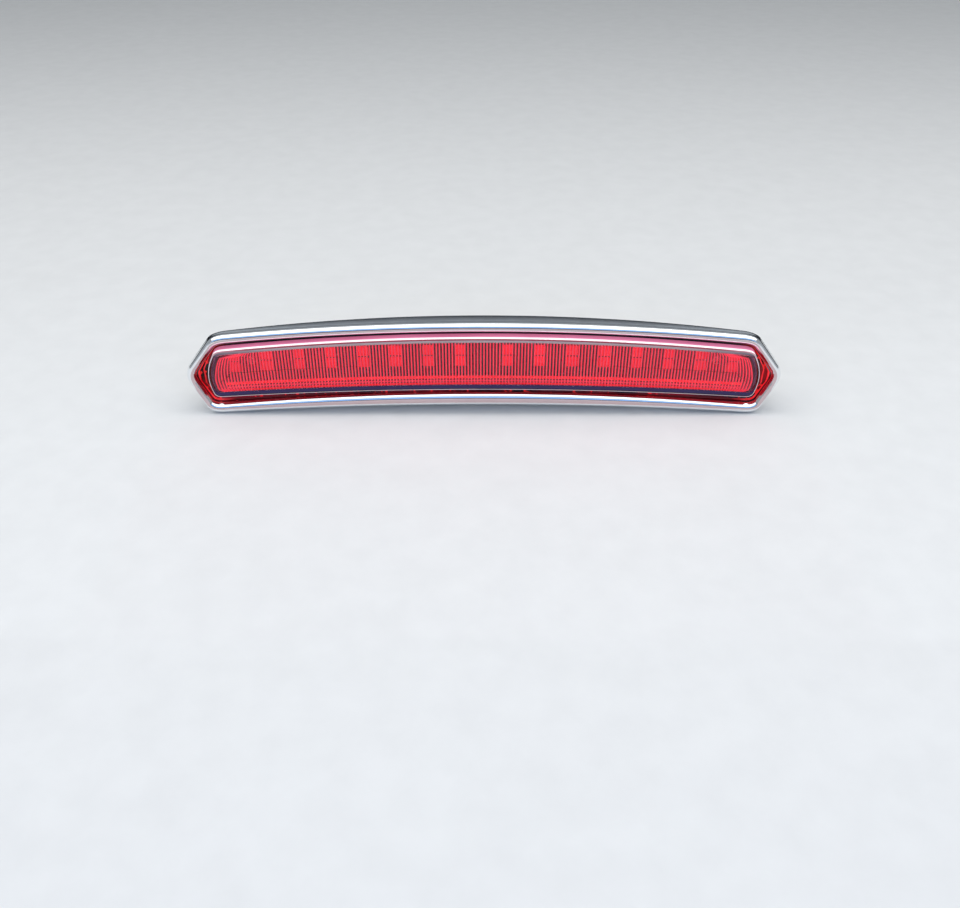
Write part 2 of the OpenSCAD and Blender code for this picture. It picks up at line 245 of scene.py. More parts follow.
def raised(line, low_lift, corner_lift, top_lift=0.0):
    """The same outline with three parts lifted, in mm: the middle of its bottom edge, the corners of
    that edge, and its whole top edge."""
    top, c1, tip, c2, low, corner_r, end_r = line
    c1, c2 = np.array(c1) + (0, top_lift), np.array(c2) + (0, corner_lift)
    return top + top_lift, c1, tip, c2, low + low_lift, corner_r, end_r


OUTER_LINE = inset(INNER_LINE, -BAND_WIDTH, -END_BAND_WIDTH)
# Inner edge of the chrome: raised in the middle of its bottom bar and, less, along its top bar
CHROME_EDGE = raised(INNER_LINE, 2.4, -0.2, 0.6)
# Outline of the fluted optic inside the block
OPTIC_LINE = inset(BLOCK_LINE, 2.75, 1.65)


def bend(a, c, b, steps):
    """Quadratic curve from a to b that leans on c: (1-t)^2 a + 2t(1-t) c + t^2 b."""
    t = np.linspace(0, 1, steps + 1)[:, None]
    return (1 - t) ** 2 * a + 2 * t * (1 - t) * c + t**2 * b


def outline(line, edge_steps=80, round_steps=18):
    """Points round an outline, in metres: half of it, clockwise from the top, then its mirror image."""
    top, c1, tip, c2, low, corner_r, end_r = line
    c1, tip, c2 = np.array(c1), np.array(tip), np.array(c2)
    side_r = corner_r * 0.6
    end_r = min(end_r, min(np.linalg.norm(c1 - tip), np.linalg.norm(c2 - tip)) - side_r - 1)

    def edge(z, corner, share):
        """Half of a long edge, from height z in the middle to its corner: z changes with x squared."""
        x = (corner[0] - corner_r) * share
        return np.stack([x, z + (corner[1] - z) * (x / corner[0]) ** 2], -1)

    share = np.linspace(0, 1, edge_steps + 1)
    upper, lower = edge(top, c1, share), edge(low, c2, share)[::-1]
    half = np.concatenate(
        [
            upper[:-1],
            bend(upper[-1], c1, c1 + side_r * unit(tip - c1), round_steps),
            bend(tip + end_r * unit(c1 - tip), tip, tip + end_r * unit(c2 - tip), round_steps),
            bend(c2 + side_r * unit(tip - c2), c2, lower[0], round_steps),
            lower[1:],
        ]
    )
    return np.concatenate([half, half[-2:0:-1] * [-1, 1]]) * MM


def edges_of(line):
    """Two functions of x that give the top and bottom z of an outline."""
    p = outline(line)
    first, last = int(p[:, 0].argmax()), int(p[:, 0].argmin())
    low = p[first : last + 1][::-1]
    top = np.concatenate([p[last:], p[: first + 1]])
    return lambda x: np.interp(x, top[:, 0], top[:, 1]), lambda x: np.interp(x, low[:, 0], low[:, 1])


def at_height(plan, height):
    """Plan points (..., 2) placed at a height, as points in space (..., 3)."""
    plan = np.asarray(plan, float)
    return np.stack([plan[..., 0], -np.broadcast_to(height, plan.shape[:-1]), plan[..., 1]], -1)


# ---- meshes ----


def grid_faces(rows, columns, wrap_rows, wrap_columns):
    """Corner numbers of every quad of a grid, whose sides may close on themselves."""
    r = np.arange(rows if wrap_rows else rows - 1)
    c = np.arange(columns if wrap_columns else columns - 1)
    r, c = np.meshgrid(r, c, indexing="ij")
    here, below = r * columns, (r + 1) % rows * columns
    right = (c + 1) % columns
    return np.stack([here + c, below + c, below + right, here + right], -1).reshape(-1, 4)


def make_piece(name, sheets, materials, sharp=40):
    """One mesh from several grids. A sheet is (points (R, C, 3), wrap rows, wrap columns, material
    number or an array of one per quad). Coincident points merge, so collapsed rows close a pole."""
    points, faces, slots, start = [], [], [], 0
    for grid, wrap_rows, wrap_columns, material in sheets:
        quads = grid_faces(grid.shape[0], grid.shape[1], wrap_rows, wrap_columns)
        points.append(grid.reshape(-1, 3))
        faces.append(quads + start)
        slots.append(np.broadcast_to(np.asarray(material).reshape(-1), (len(quads),)))
        start += points[-1].shape[0]
    mesh = bpy.data.meshes.new(name)
    mesh.from_pydata(np.concatenate(points).tolist(), [], np.concatenate(faces).tolist())
    mesh.polygons.foreach_set("material_index", np.concatenate(slots).astype(np.int32))
    for material in materials:
        mesh.materials.append(material)
    shape = bmesh.new()
    shape.from_mesh(mesh)
    bmesh.ops.remove_doubles(shape, verts=shape.verts, dist=1e-6)
    bmesh.ops.dissolve_degenerate(shape, edges=shape.edges, dist=1e-7)
    bmesh.ops.recalc_face_normals(shape, faces=shape.faces)
    shape.to_mesh(mesh)
    shape.free()
    mesh.shade_smooth()
    mesh.set_sharp_from_angle(angle=math.radians(sharp))
    piece = bpy.data.objects.new(name, mesh)
    bpy.context.scene.collection.objects.link(piece)
    return piece


def fit(piece, body, slot, *nodes):
    """Rides a finished piece on its body and hides the CAD nodes it stands for. Its slot is not used."""
    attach(piece, body)
    if nodes:
        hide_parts(*nodes)


def turned(x, z, heights, radii, turns):
    """Surface round an axis along Y at (x, z): each height has a row of radii, one for each angle."""
    angle = np.linspace(0, 2 * math.pi, turns, endpoint=False)
    radii = np.asarray(radii, float)
    plan = np.stack([x + radii * np.cos(angle), z + radii * np.sin(angle)], -1)
    return at_height(plan, np.asarray(heights, float)[:, None])


# ---- materials ----


def new_material(name):
    """Empty node material with its Principled shader and its Object coordinates."""
    material = bpy.data.materials.new(name)
    material.use_nodes = True
    tree = material.node_tree
    shader = tree.nodes["Principled BSDF"]
    coordinates = tree.nodes.new("ShaderNodeTexCoord").outputs["Object"]
    return material, tree, shader, coordinates


def noise(tree, coordinates, scale, detail=3.0, stretch=(1, 1, 1)):
    """Noise over Object coordinates, finer with scale, drawn out along the axes with a low stretch."""
    mapping = tree.nodes.new("ShaderNodeMapping")
    mapping.inputs["Scale"].default_value = stretch
    texture = tree.nodes.new("ShaderNodeTexNoise")
    texture.inputs["Scale"].default_value = scale
    texture.inputs["Detail"].default_value = detail
    tree.links.new(coordinates, mapping.inputs["Vector"])
    tree.links.new(mapping.outputs["Vector"], texture.inputs["Vector"])
    return texture.outputs["Fac"]


def ramp(tree, value, stops):
    """Colour ramp through (position, colour) stops."""
    node = tree.nodes.new("ShaderNodeValToRGB")
    elements = node.color_ramp.elements
    while len(elements) < len(stops):
        elements.new(0.5)
    for element, (position, colour) in zip(elements, stops):
        element.position = position
        element.color = (*colour, 1.0)
    tree.links.new(value, node.inputs["Fac"])
    return node.outputs["Color"]


def spread(tree, value, low, high):
    """Value between 0.3 and 0.7 mapped to low and high."""
    node = tree.nodes.new("ShaderNodeMapRange")
    for socket, number in zip(("From Min", "From Max", "To Min", "To Max"), (0.3, 0.7, low, high)):
        node.inputs[socket].default_value = number
    tree.links.new(value, node.inputs["Value"])
    return node.outputs["Result"]


def run_along(tree, coordinates, axis, low, high):
    """Runs from 0 to 1 as the coordinate on an axis goes from low to high."""
    parts = tree.nodes.new("ShaderNodeSeparateXYZ")
    tree.links.new(coordinates, parts.inputs["Vector"])
    node = tree.nodes.new("ShaderNodeMapRange")
    node.inputs["From Min"].default_value = low
    node.inputs["From Max"].default_value = high
    tree.links.new(parts.outputs[axis], node.inputs["Value"])
    return node.outputs["Result"]


def blend(tree, amount, first, second):
    """Mix of two colours, each a tuple or another node's output."""
    node = tree.nodes.new("ShaderNodeMix")
    node.data_type = "RGBA"
    tree.links.new(amount, node.inputs[0])
    for socket, colour in zip((node.inputs[6], node.inputs[7]), (first, second)):
        if isinstance(colour, tuple):
            socket.default_value = (*colour, 1.0)
        else:
            tree.links.new(colour, socket)
    return node.outputs[2]


def bump(tree, shader, value, strength, distance):
    """Relief of the given depth on the shader's normal."""
    node = tree.nodes.new("ShaderNodeBump")
    node.inputs["Strength"].default_value = strength
    node.inputs["Distance"].default_value = distance
    tree.links.new(value, node.inputs["Height"])
    tree.links.new(node.outputs["Normal"], shader.inputs["Normal"])


def gloss(tree, shader, value, low, high):
    """Roughness between low and high, as a noise runs."""
    tree.links.new(spread(tree, value, low, high), shader.inputs["Roughness"])


def set_sockets(shader, **values):
    """Sets the shader's own sockets. A name's underscores stand for spaces."""
    for name, value in values.items():
        shader.inputs[name.replace("_", " ")].default_value = value


def shade(colour, factor):
    """The colour made lighter or darker, with no part over 1."""
    return tuple(min(c * factor, 1.0) for c in colour)


def finish(name, colour, roughness, grain=400, relief=0.0, depth=0.0001, mottle=0.15, **sockets):
    """A finish with mottled colour, uneven gloss and a fine relief, all from noise."""
    material, tree, shader, coordinates = new_material(name)
    patches = noise(tree, coordinates, 60, 4.0)
    colours = [(0.3, shade(colour, 1 - mottle)), (0.7, shade(colour, 1 + mottle))]
    tree.links.new(ramp(tree, patches, colours), shader.inputs["Base Color"])
    fine = noise(tree, coordinates, grain, 5.0)
    gloss(tree, shader, fine, *roughness)
    if relief:
        bump(tree, shader, fine, relief, depth)
    set_sockets(shader, **sockets)
    return material


def two_tone(name, lower, upper, low, high, roughness=(0.1, 0.2)):
    """Mottled finish whose colour runs from lower to upper as z goes from low to high."""
    material, tree, shader, coordinates = new_material(name)
    patches = noise(tree, coordinates, 60, 3.0)
    mixed = blend(tree, run_along(tree, coordinates, "Z", low, high), lower, upper)
    dark = blend(tree, spread(tree, patches, 0.0, 0.15), mixed, (0.0, 0.0, 0.0))
    tree.links.new(dark, shader.inputs["Base Color"])
    gloss(tree, shader, noise(tree, coordinates, 300), *roughness)
    return material


def chrome(colour):
    """Polished plate: nearly a mirror, with the slow waviness of a moulding and faint haze."""
    material, tree, shader, coordinates = new_material("bright_chrome")
    haze = noise(tree, coordinates, 90, 4.0)
    tint = ramp(tree, haze, [(0.3, shade(colour, 0.96)), (0.7, colour)])
    tree.links.new(tint, shader.inputs["Base Color"])
    gloss(tree, shader, haze, 0.03, 0.075)
    bump(tree, shader, noise(tree, coordinates, 28, 1.0), 0.25, 0.0006)
    set_sockets(shader, Metallic=1.0)
    return material


def clear_red(colour):
    """Clear tinted plastic of the raised block."""
    material, tree, shader, coordinates = new_material("clear_red")
    haze = noise(tree, coordinates, 50, 3.0)
    tint = ramp(tree, haze, [(0.3, shade(colour, 0.97)), (0.7, colour)])
    tree.links.new(tint, shader.inputs["Base Color"])
    gloss(tree, shader, noise(tree, coordinates, 300), 0.01, 0.03)
    set_sockets(shader, IOR=1.49, Transmission_Weight=1.0, Specular_IOR_Level=0.28)
    return material


def glowing(name, colour, glow, roughness, root=None):
    """Plastic with a painted glow that stands in for light on it, brighter and duller in patches. With a
    root colour, painted shade runs over the optic's relief, from that colour at its back to the full one
    at its front."""
    material, tree, shader, coordinates = new_material(name)
    patches = noise(tree, coordinates, 35, 3.0)
    tint = ramp(tree, patches, [(0.3, shade(colour, 0.87)), (0.7, colour)])
    if root:
        # Painted shade: the relief darkens toward its back
        front = run_along(tree, coordinates, "Y", -OPTIC_BACK - 0.25 * MM, -OPTIC_FRONT + 0.25 * MM)
        tint = blend(tree, front, root, tint)
    tree.links.new(tint, shader.inputs["Base Color"])
    tree.links.new(tint, shader.inputs["Emission Color"])
    gloss(tree, shader, noise(tree, coordinates, 500), *roughness)
    set_sockets(shader, Emission_Strength=glow, IOR=1.49, Coat_Weight=0.3)
    return material


# ---- bezel ----


class LAMP_OT_bezel(bpy.types.Operator):
    """Chrome surround: a rounded hollow band carried round between its inner and outer outlines"""

    bl_idname = "lamp.bezel"
    bl_label = "Bezel"

    def execute(self, context):
        sizes = context.scene.lamp_bezel
        outer = outline(OUTER_LINE)
        inner = outline(CHROME_EDGE)
        across = 0.5 - 0.5 * np.cos(np.linspace(0, math.pi, 34))
        power = sizes.squareness
        root = np.where(across < 0.5, sizes.inner_root, power)
        rise = (1 - np.abs(2 * across - 1) ** power) ** (1 / root)
        rise = np.append(0, np.where(across < 0.5, sizes.step + (1 - sizes.step) * rise, rise))
        wall = BEZEL_WALL / BAND_WIDTH
        # The hollow under the band: share of the width and share of the rise, from the outer wall in
        places = [1 - wall, 1 - 1.3 * wall, 0.5, 1.3 * wall, 1.15 * wall]
        hollow = np.array([places, [-0.1, 0.2, 0.38, 0.2, 0]]).T
        span = CREST - LIP
        reach = np.clip(1 - (outer[:, 0] / (INNER_LINE[1][0] * MM)) ** 2, 0, None)
        foot = FOOT_END - (FOOT_END - FOOT_MIDDLE) * reach
        level = [np.full(len(outer), LIP + span * h) for h in rise]
        down = np.linspace(0, 1, 9)[1:]
        side = [LIP + (foot - LIP) * s for s in down]
        inside = [np.full(len(outer), LIP + span * h) for h in hollow[:, 1]]
        spread_foot = 1 - sizes.flare * (1 - down) ** 2
        shares = np.concatenate([[0], across * (1 - sizes.flare), spread_foot, [1 - wall], hollow[:, 0]])
        heights = level + side + [foot] + inside
        grid = np.stack([at_height(inner + (outer - inner) * s, h) for s, h in zip(shares, heights)])
        grid = np.clip(grid, near("bezel"), far("bezel"))
        material = chrome(sizes.colour)
        piece = make_piece("chrome_bezel", [(grid, True, True, 0)], [material], 50)
        fit(piece, LAMP, "chrome", "bezel")
        return {"FINISHED"}


# ---- lens ----


# The lens's materials, in the order of its list
# EDGE, SHADOW and RIM are painted highlight, shade and reflection; WALL_RED, FLANGE_RED, FACET and RIDGE
# hold painted light too
CLEAR, FLANGE_RED, WALL_RED, EDGE, FACET, RIDGE, SHADOW, RIM, BACK = range(9)

# Insets in mm: the block's wall, the fillet at its foot and the flange's edge under the chrome
LENS_WALL = 1.5
FOOT_FILLET = 0.4
FLANGE_INSET = BEZEL_WALL + 0.9
# Thickness of the block's front wall, and how far the middle of its face stands over the rim
FRONT_WALL = 2.5 * MM
FACE_CROWN = 0.2 * MM

# Flange behind its own edge: share from the block's foot (0) to the edge (1), and height
FLANGE_BACK = [(0.0, LENS_BACK), (0.5, LENS_BACK), (0.97, LENS_BACK), (1.0, LENS_BACK + 0.15 * MM)]
# Flange's front from the bezel's lip inward, in mm: distance from the lip, extra distance along the
# upper part of each end, greatest share of the gap, height above the flange, and material
FLANGE_FRONT = [
    (0.15, 0.0, 0.1, 0.0, FLANGE_RED),
    (0.9, 3.0, 0.25, 0.0, FACET),
    (1.2, 3.3, 0.32, 0.55, RIDGE),
    (1.7, 3.6, 0.42, 0.6, RIDGE),
    (2.2, 3.9, 0.5, 0.0, RIDGE),
    (3.0, 4.0, 0.6, -0.4, FLANGE_RED),
    (4.4, 4.6, 0.75, -0.6, FLANGE_RED),
    (5.4, 5.4, 0.85, -0.45, RIDGE),
    (9.0, 9.0, 0.94, -0.6, FLANGE_RED),
    (20.0, 20.0, 1.0, -0.5, FLANGE_RED),
]
# Groove round the face inside its rim: distance from the rim, in mm, depth and material
GROOVE = [(0, 0, RIM), (0.1, 0.08 * MM, CLEAR), (0.25, 0.08 * MM, CLEAR), (0.35, 0, CLEAR)]


def closing_rings(ring, steps=3, reach=0.93):
    """Rings that close a flat face onto the line midway between its long edges."""
    x = np.clip(ring[:, 0], -reach * ring[:, 0].max(), reach * ring[:, 0].max())
    mirror = ring[(len(ring) // 2 - np.arange(len(ring))) % len(ring)]
    spine = np.stack([x, 0.5 * (ring[:, 1] + mirror[:, 1])], -1)
    return [ring + (spine - ring) * s for s in np.linspace(0, 1, steps + 1)[1:]]


def smooth(t):
    """Runs smoothly from 0 to 1: 3t^2 - 2t^3, with t held between 0 and 1."""
    t = np.clip(t, 0, 1)
    return t * t * (3 - 2 * t)


def lens_sheet(sizes):
    """Rings of plan points and heights round the whole lens, from the middle of its inner face out
    over the flange and up to the middle of its front face, with a material for each step."""
    block = lambda d: outline(inset(BLOCK_LINE, d))
    foot = block(-FOOT_FILLET)
    edge = outline(inset(OUTER_LINE, FLANGE_INSET))
    ceiling = LENS_FACE - FRONT_WALL
    rings, slots = [], []

    def add(plan, height, material):
        rings.append(at_height(plan, height))
        slots.append(material)

    for plan in closing_rings(block(LENS_WALL + 0.4))[::-1]:
        add(plan, ceiling, CLEAR)
    add(block(LENS_WALL + 0.4), ceiling, CLEAR)
    add(block(LENS_WALL), ceiling - 0.4 * MM, CLEAR)
    add(block(LENS_WALL), LENS_BACK, WALL_RED)
    for share, height in FLANGE_BACK:
        add(foot + (edge - foot) * share, height, BACK)
    lip = outline(INNER_LINE)
    gap = np.linalg.norm(foot - lip, axis=1) / MM
    # Both run from 0 to 1: at_ends past x = 158 mm, and upper in the band of z from -10 to 13 mm there
    at_ends = smooth((np.abs(lip[:, 0]) / MM - 158) / 12)
    upper = smooth((lip[:, 1] / MM + 10) / 4) * smooth((13 - lip[:, 1] / MM) / 9) * at_ends
    add(edge, FLANGE - 0.15 * MM, BACK)
    add(edge + (lip - edge) * 0.1, FLANGE, FLANGE_RED)
    for distance, widen, cap, height, material in FLANGE_FRONT:
        share = np.minimum((distance + widen * upper) / gap, cap)[:, None]
        rise = height * (0.3 + 0.7 * at_ends) if height > 0 else height
        add(lip + (foot - lip) * share, FLANGE + rise * MM, material)
    radius = sizes.edge_radius / MM
    shoulder = LENS_FACE - FACE_CROWN
    # The rounded edge carries the painted highlight and the ring inside it the painted shade
    for turn in np.linspace(0, math.pi / 2, 9):
        height = shoulder - sizes.edge_radius * (1 - math.sin(turn))
        add(block(radius * (1 - math.cos(turn))), height, EDGE if turn else WALL_RED)
    add(block(radius + 0.5), shoulder, SHADOW)
    border = sizes.border / MM
    lift = sizes.low_border / MM - border
    rim = raised(inset(BLOCK_LINE, border, sizes.end_border / MM), lift, lift)
    for distance, sink, material in GROOVE:
        last = outline(inset(rim, distance))
        add(last, shoulder - sink, material)
    closing = closing_rings(last)
    for i, plan in enumerate(closing, 1):
        add(plan, LENS_FACE - FACE_CROWN * (1 - i / len(closing)) ** 2, CLEAR)
    return np.stack(rings), np.array(slots[1:])


def flange_red_painted_light(colour):
    """Deep red of the flange, painted nearly black as shade under the upper bar and lighter toward the
    ends; its black patches are painted shade and its red glints painted highlights that glow.
    """
    material, tree, shader, coordinates = new_material("flange_red_painted_light")
    patches = noise(tree, coordinates, 45, 3.0, (0.5, 1, 1))
    # Black patches: painted shade
    mottled = ramp(tree, patches, [(0.42, shade(colour, 0.05)), (0.58, colour)])
    # Painted glints: sparse red spots that glow
    glints = ramp(tree, noise(tree, coordinates, 420, 0.0), [(0.66, (0, 0, 0)), (0.7, (1.0, 0.02, 0.02))])
    # Painted shade: near black, without glints, under the upper bar
    upper = run_along(tree, coordinates, "Z", 0.002, 0.009)
    tree.links.new(blend(tree, upper, glints, (0.0, 0.0, 0.0)), shader.inputs["Emission Color"])
    tree.links.new(blend(tree, upper, mottled, (0.004, 0.001, 0.002)), shader.inputs["Base Color"])
    gloss(tree, shader, noise(tree, coordinates, 300), 0.05, 0.12)
    set_sockets(shader, IOR=1.35, Emission_Strength=0.6)
    return material


def wall_red_painted_light():
    """Side of the block, with painted light: its upper run is painted pink as the sky's reflection and
    white at its front as a painted highlight, the rest is left deep red, and all of it has a painted glow.
    """
    material, tree, shader, coordinates = new_material("wall_red_painted_light")
    patches = noise(tree, coordinates, 40, 3.0, (0.4, 1, 1))
    pink = ramp(tree, patches, [(0.35, (0.7, 0.17, 0.3)), (0.65, (0.85, 0.24, 0.4))])
    deep = ramp(tree, patches, [(0.35, (0.12, 0.0, 0.004)), (0.65, (0.4, 0.002, 0.01))])
    upper = run_along(tree, coordinates, "Z", 0.0, 0.007)
    # Painted highlight: white toward the front of the wall
    front = run_along(tree, coordinates, "Y", 3.2 * MM - LENS_FACE, 2.7 * MM - LENS_FACE)
    white = blend(tree, front, pink, (1.0, 0.9, 0.92))
    colour = blend(tree, upper, deep, white)
    tree.links.new(colour, shader.inputs["Base Color"])
    tree.links.new(colour, shader.inputs["Emission Color"])
    gloss(tree, shader, noise(tree, coordinates, 300), 0.1, 0.2)
    set_sockets(shader, Emission_Strength=0.4)
    return material


def facet_painted_reflection():
    """Outer facet of the flange: its grey is a painted reflection of the bright surround; it turns red
    lower down and is painted nearly black as shade under the top bar.
    """
    material, tree, shader, coordinates = new_material("facet_painted_reflection")
    patches = noise(tree, coordinates, 30, 2.0)
    grey = ramp(tree, patches, [(0.35, (0.12, 0.1, 0.1)), (0.65, (0.5, 0.46, 0.46))])
    inward = run_along(tree, coordinates, "Z", -0.012, -0.008)
    # Painted shade: nearly black under the top bar
    upper = run_along(tree, coordinates, "Z", 0.009, 0.012)
    red = blend(tree, inward, (0.16, 0.002, 0.006), grey)
    tree.links.new(blend(tree, upper, red, (0.003, 0.001, 0.001)), shader.inputs["Base Color"])
    gloss(tree, shader, noise(tree, coordinates, 300), 0.05, 0.12)
    set_sockets(shader, IOR=1.35)
    return material


def ridge_red_painted_glow():
    """Crest of the flange's ridge, with a painted glow: painted bright at the ends, dark along the middle,
    and painted nearly black as shade under the top bar.
    """
    material, tree, shader, coordinates = new_material("ridge_red_painted_glow")
    patches = noise(tree, coordinates, 90, 2.0)
    lit = ramp(tree, patches, [(0.35, (0.55, 0.004, 0.008)), (0.6, (1.0, 0.03, 0.04))])
    parts = tree.nodes.new("ShaderNodeSeparateXYZ")
    tree.links.new(coordinates, parts.inputs["Vector"])
    side = tree.nodes.new("ShaderNodeMath")
    side.operation = "ABSOLUTE"
    tree.links.new(parts.outputs["X"], side.inputs[0])
    end = tree.nodes.new("ShaderNodeMapRange")
    end.inputs["From Min"].default_value, end.inputs["From Max"].default_value = 0.155, 0.168
    tree.links.new(side.outputs["Value"], end.inputs["Value"])
    # Painted shade: nearly black under the top bar
    top = run_along(tree, coordinates, "Z", 0.008, 0.012)
    colour = blend(tree, end.outputs["Result"], (0.07, 0.0, 0.002), lit)
    colour = blend(tree, top, colour, (0.003, 0.0, 0.001))
    tree.links.new(colour, shader.inputs["Base Color"])
    tree.links.new(colour, shader.inputs["Emission Color"])
    gloss(tree, shader, patches, 0.06, 0.14)
    set_sockets(shader, Emission_Strength=0.5, IOR=1.4)
    return material


# Rim of the block's face, from its rounded edge inward, all painted light: name, colour below and colour
# above. The edge is a painted highlight below and darker above; inside it lies a painted shadow, pinkish
# grey above as a painted reflection; the band is navy in place of the dark rim seen through the face, and
# pinkish grey above as a painted reflection.
RIM_TONES = {
    "edge_painted_highlight": ((0.8, 0.62, 0.65), (0.3, 0.03, 0.05)),
    "edge_shadow": ((0.012, 0.002, 0.006), (0.5, 0.4, 0.42)),
    "frame_band": ((0.026, 0.02, 0.095), (0.5, 0.38, 0.38)),
}


class LAMP_OT_lens(bpy.types.Operator):
    """Red lens: clear raised block with a rounded edge, on a six-sided flange with a raised ridge"""

    bl_idname = "lamp.lens"
    bl_label = "Lens"

    def execute(self, context):
        sizes = context.scene.lamp_lens
        rings, steps = lens_sheet(sizes)
        slots = np.repeat(steps, rings.shape[1])
        pale, shadow, band = (two_tone(name, *tones, 0.004, 0.01) for name, tones in RIM_TONES.items())
        materials = [clear_red(sizes.colour), flange_red_painted_light(sizes.flange_colour), wall_red_painted_light(), pale]
        materials += [facet_painted_reflection(), ridge_red_painted_glow(), shadow, band]
        materials.append(finish("flange_back", shade(sizes.flange_colour, 0.6), (0.15, 0.3), 300))
        piece = make_piece("lens_moulding", [(rings, False, True, slots)], materials, 35)
        fit(piece, LAMP, "red_lens", "lens")
        return {"FINISHED"}


# ---- inner optic ----


def ridges(sizes, line, top, low, half_x):
    """Every flute's half-round ridge: a closed tube from the lower edge to the upper one. Toward the
    ends x is drawn in by the square of the ridge's place there, so the last one follows the outline."""
    count = int(half_x / sizes.pitch)
    x = np.arange(-count, count + 1) * sizes.pitch
    along = np.linspace(-1, 1, 15)
    turn = np.linspace(0, math.pi, 7)
    share = np.clip((np.abs(x) / half_x - 0.8) / 0.2, 0, 1) ** 2
    edge = outline(line)
    edge = edge[edge[:, 0] > 0.9 * half_x]
    edge = edge[edge[:, 1].argsort()]
    span = np.linspace(edge[0, 1], edge[-1, 1], 15)
    side = np.interp(span, edge[:, 1], edge[:, 0]) / edge[:, 0].max()
    px = x[:, None] * (1 + share[:, None] * (side - 1))
    ceiling, ground = top(px) - sizes.top_gap, low(px)
    z = 0.5 * (ceiling + ground) + 0.5 * (ceiling - ground) * along
    px = px[..., None] + 0.5 * sizes.ridge * np.cos(turn)
    h = OPTIC_BACK + (OPTIC_FRONT - OPTIC_BACK) * np.sin(turn)
    grid = np.stack([px, -np.broadcast_to(h, px.shape), np.broadcast_to(z[..., None], px.shape)], -1)
    ends = grid.mean(2, keepdims=True)
    start = np.broadcast_to(ends[:, :1], grid[:, :1].shape)
    stop = np.broadcast_to(ends[:, -1:], grid[:, :1].shape)
    return np.concatenate([start, grid, stop], 1)


def cross_bar(low_edge, high_edge, half_x, back, front, steps=120):
    """Bar along X with a rounded front, between two curves given as functions of x."""
    x = np.linspace(-half_x, half_x, steps)
    turn = np.linspace(0, math.pi, 7)
    lo, hi = low_edge(x)[:, None], high_edge(x)[:, None]
    z = 0.5 * (lo + hi) + 0.5 * (hi - lo) * np.cos(turn)
    h = back + (front - back) * np.sin(turn)
    grid = at_height(np.stack([np.broadcast_to(x[:, None], z.shape), z], -1), h)
    ends = grid.mean(1, keepdims=True)
    start = np.broadcast_to(ends[:1], grid[:1].shape)
    stop = np.broadcast_to(ends[-1:], grid[:1].shape)
    return np.concatenate([start, grid, stop])


# The optic's materials, in the order of its list; DULL is a painted shade
BRIGHT, DULL, SOFT, PLAIN, RIB = range(5)

# Bars across the flutes: lower and upper edge from the crowned centre line and sink of the front, in
# mm, and material
CROSS_BARS = [(-10.6, -9.3, -0.1, RIB), (-12.75, -12.25, 0.4, SOFT)]


class LAMP_OT_optic(bpy.types.Operator):
    """Fluted red optic: upright ridges, one broad cross rib and the cross-hatched strip under it"""

    bl_idname = "lamp.optic"
    bl_label = "Inner optic"

    def execute(self, context):
        sizes = context.scene.lamp_optic
        top, low = edges_of(OPTIC_LINE)
        half_x = outline(OPTIC_LINE)[:, 0].max()
        tubes = ridges(sizes, OPTIC_LINE, top, low, half_x - 0.6 * sizes.ridge)
        sheets = [(tube, False, True, BRIGHT) for tube in tubes]
        front, back = OPTIC_FRONT, OPTIC_BACK
        for lower, upper, sink, material in CROSS_BARS:
            bar = cross_bar(
                lambda x, d=lower: crown(x) + d * MM,
                lambda x, d=upper: crown(x) + d * MM,
                ROW_HALF + 4 * MM,
                back,
                front - sink * MM,
            )
            sheets.append((bar, False, True, material))
        foot = cross_bar(low, lambda x: low(x) + 0.7 * MM, half_x - 5 * MM, back, front - 0.4 * MM)
        strip = cross_bar(lambda x: top(x) - sizes.top_gap, top, half_x - 7 * MM, back, front)
        sheets += [(foot, False, True, RIB), (strip, False, True, PLAIN)]
        # A near-black sheet behind the lower flutes, put there as painted shade
        behind = back - 1.0 * MM, back - 0.4 * MM
        backing = cross_bar(low, lambda x: crown(x) - 8.0 * MM, half_x - 9 * MM, *behind)
        sheets.append((backing, False, True, DULL))
        # Painted shade: the ridges darken from full red at their front to this colour at their back
        root = (0.42, 0.0, 0.06)
        # The glows of these finishes are painted light
        bright = glowing("optic_red", sizes.colour, sizes.glow, (0.12, 0.22), root)
        backing_shade = finish("optic_shade_red", (0.012, 0.0, 0.006), (0.6, 0.7))
        soft = glowing("optic_soft_red", shade(sizes.colour, 0.75), sizes.glow, (0.2, 0.3))
        rib = glowing("optic_rib_red", (1.0, 0.03, 0.06), sizes.glow, (0.12, 0.22))
        plain = glowing("optic_plain_strip", (0.5, 0.42, 0.46), 0.25, (0.2, 0.3))
        piece = make_piece("fluted_optic", sheets, [bright, backing_shade, soft, plain, rib], 50)
        fit(piece, LAMP, "red_optic", "flute_plate")
        return {"FINISHED"}


# ---- light sources ----


